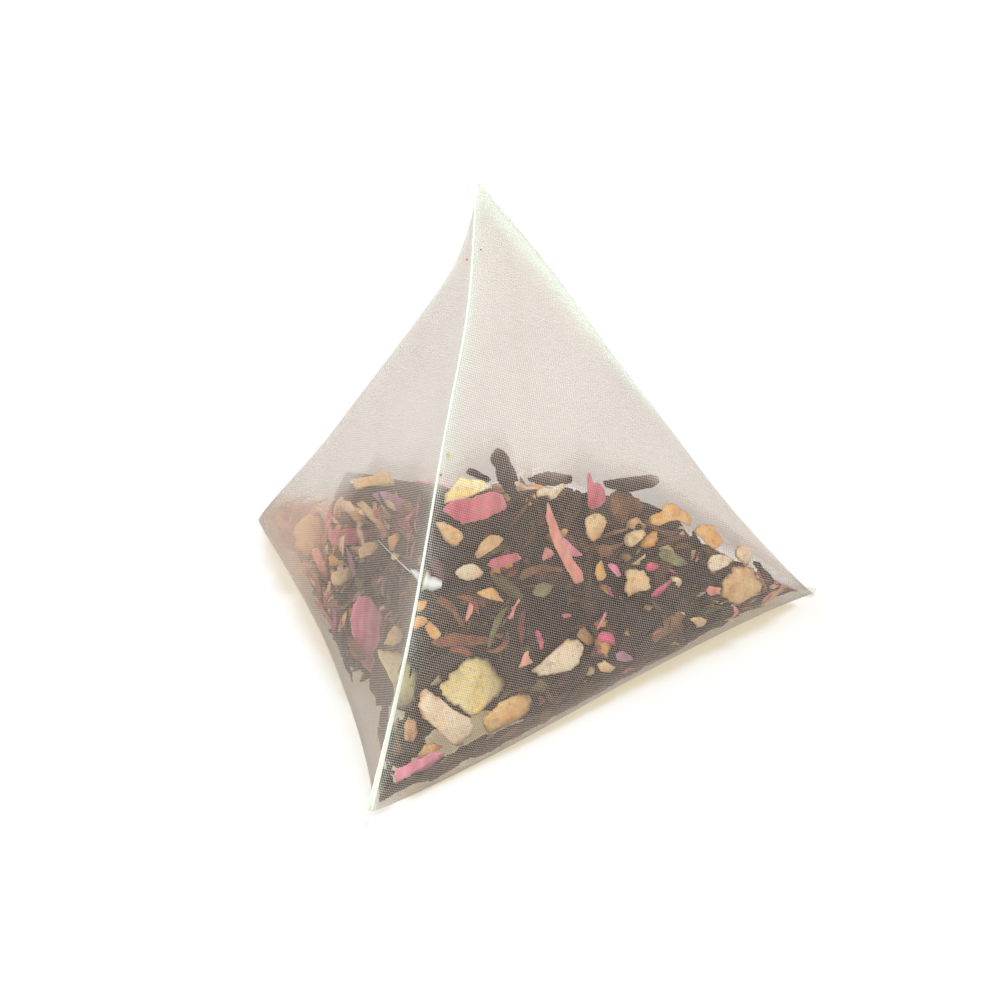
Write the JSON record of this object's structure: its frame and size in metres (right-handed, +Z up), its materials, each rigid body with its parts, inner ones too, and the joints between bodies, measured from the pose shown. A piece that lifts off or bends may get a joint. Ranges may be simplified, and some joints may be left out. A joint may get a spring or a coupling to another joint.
{
  "type": "pyramid tea bag",
  "caption": "Four-sided pyramid tea bag of see-through woven gauze with crossed welded end seals, holding loose leaf tea, dried fruit and petals.",
  "frame": {"origin": "middle of the bag's plan box, at the floor it rests on", "axes": "+Z up; +X across the front seal, to the right; -Y towards the front seal, which climbs from the front corner to the apex"},
  "size_m": [0.0554, 0.0546, 0.0475],
  "materials": {
    "gauze": "fine see-through plastic gauze, slightly glossy threads",
    "tea_leaf": "dry rolled tea leaf, matt, near black",
    "lemon_fruit": "dried pale yellow fruit, matt",
    "cream_fruit": "dried cream fruit, matt",
    "tan_fruit": "dried tan fruit, rough",
    "orange_fruit": "dried orange fruit and peel, rough",
    "rose_petal": "dried rose-red petal, matt",
    "pink_petal": "dried pink petal, matt",
    "salmon_petal": "dried salmon petal, matt",
    "mauve_petal": "dried mauve petal, matt",
    "brown_leaf": "dry brown leaf and stem, matt",
    "dark_leaf": "dry black leaf, matt",
    "green_leaf": "dry olive green leaf, matt",
    "rust_leaf": "dry rust-brown leaf, matt"
  },
  "bodies": {
    "root": {"gauze_bag": "gauze", "tea_leaf_heap": "tea_leaf", "pineapple_cube": "lemon_fruit", "pale_fruit_slice": "lemon_fruit", "beige_fruit_strip": "cream_fruit", "crumbled_mango": "orange_fruit", "pink_folded_petal": "pink_petal", "rose_petal": "rose_petal", "pale_fruit_chunk": "lemon_fruit", "seam_fruit_crumb": "tan_fruit", "tan_fruit_chunk": "tan_fruit", "curled_peel": "tan_fruit", "green_leaf_strip": "green_leaf", "red_petal_strip": "rose_petal", "cream_fruit_nib": "cream_fruit", "golden_fruit_nib": "orange_fruit", "peach_sliver": "salmon_petal", "cream_curl": "cream_fruit", "dark_leaf_roll": "dark_leaf", "red_petal_shard": "rose_petal", "salmon_petal": "salmon_petal", "magenta_petal": "pink_petal", "small_pink_petal": "pink_petal", "brown_fruit_crumb": "brown_leaf", "russet_fruit_crumb": "tan_fruit", "orange_peel_crumb": "orange_fruit", "orange_peel_nib": "orange_fruit", "cream_fruit_block": "cream_fruit", "tan_fruit_block": "cream_fruit", "peach_peel": "salmon_petal", "dark_leaf_blade": "dark_leaf", "pale_fruit_flake": "tan_fruit", "cream_fruit_wedge": "cream_fruit", "orange_rind_nib": "orange_fruit", "pink_petal_chip": "salmon_petal", "rose_petal_sliver": "pink_petal", "green_leaf_flake": "green_leaf", "brown_leaf_curl": "brown_leaf", "olive_leaf": "green_leaf", "peach_fruit_flake": "cream_fruit", "ember_crumb": "orange_fruit", "bent_stem": "brown_leaf", "rust_leaf": "rust_leaf", "olive_stalk": "green_leaf", "ochre_crumb": "tan_fruit", "upright_leaf": "dark_leaf", "tilted_leaf": "dark_leaf", "left_orange_crumb": "orange_fruit", "left_mauve_petal": "mauve_petal", "left_peel_strip": "tan_fruit", "left_dark_leaf": "dark_leaf", "left_pink_petal": "pink_petal", "left_tan_chunk": "tan_fruit", "left_peach_curl": "salmon_petal", "left_brown_flake": "brown_leaf", "left_corner_fruit": "orange_fruit", "rear_orange_crumb": "orange_fruit", "rear_cream_chunk": "cream_fruit", "rear_pink_petal": "pink_petal", "rear_leaf": "dark_leaf"}
  },
  "joints": []
}
